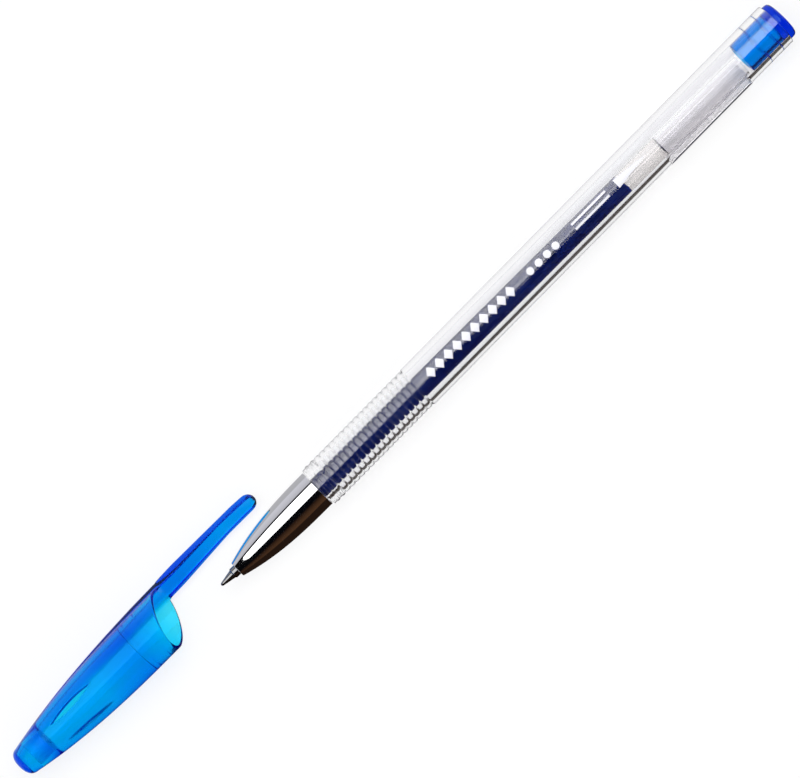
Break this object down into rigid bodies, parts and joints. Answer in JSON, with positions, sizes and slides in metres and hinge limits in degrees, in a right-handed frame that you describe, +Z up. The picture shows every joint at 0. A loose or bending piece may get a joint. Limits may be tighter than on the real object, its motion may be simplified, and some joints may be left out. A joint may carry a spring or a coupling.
{
  "type": "gel pen",
  "caption": "Clear stick gel pen lying uncapped: chrome nose cone, ringed grip, leaning refill, blue end plug and blue clip cap set down ahead of the tip.",
  "frame": {"origin": "on the table, under the middle of the space that the pen and its cap take up as they lie", "axes": "+X runs along the pen from the writing tip to the end plug, +Y points to the side that the cap and its clip lie on, and +Z is up"},
  "size_m": [0.1882, 0.014, 0.0105],
  "materials": {
    "clear_plastic": "clear, polished",
    "blue_plug": "translucent royal blue, polished",
    "label_paper": "blank white sticker, matt",
    "nose_chrome": "mirror chrome",
    "tube_plastic": "clear, slightly milky",
    "ink": "wet dark blue gel",
    "follower": "clear grease",
    "holder_plastic": "natural moulded plastic",
    "tip_metal": "turned nickel silver",
    "ball_metal": "ground hard metal",
    "blue_cap": "translucent blue, polished",
    "seal_rubber": "soft moulded seal"
  },
  "bodies": {
    "barrel": {"barrel": "clear_plastic", "end_plug": "blue_plug", "barrel_label": "label_paper"},
    "refill": {"refill_tube": "tube_plastic", "gel_ink": "ink", "ink_follower": "follower", "tip_holder": "holder_plastic", "tip_body": "tip_metal"},
    "nose": {"nose_cone": "nose_chrome"},
    "ball": {"writing_ball": "ball_metal"},
    "cap": {"cap_shell": "blue_cap", "cap_seal": "seal_rubber"}
  },
  "joints": [
    {"name": "cap_slide", "type": "slide", "parent": "barrel", "child": "cap", "axis": [0.9979, -0.0605, -0.0214], "range_m": [0, 0.04349]},
    {"name": "refill_slide", "type": "slide", "parent": "barrel", "child": "refill", "axis": [-1, 0, 0], "range_m": [0, 0.0013]},
    {"name": "nose_turn", "type": "hinge", "parent": "refill", "child": "nose", "pos_m": [-0.0325, -0.00254, 0.00442], "axis": [-1, 0, 0], "range_deg": [0, 720]},
    {"name": "ball_roll", "type": "hinge", "parent": "refill", "child": "ball", "pos_m": [-0.04625, -0.0025, 0.00445], "axis": [0, 1, 0], "continuous": true}
  ],
  "couplings": [
    {"joint": "nose_turn", "follows": "refill_slide", "rad_per_m": 9666.4}
  ]
}
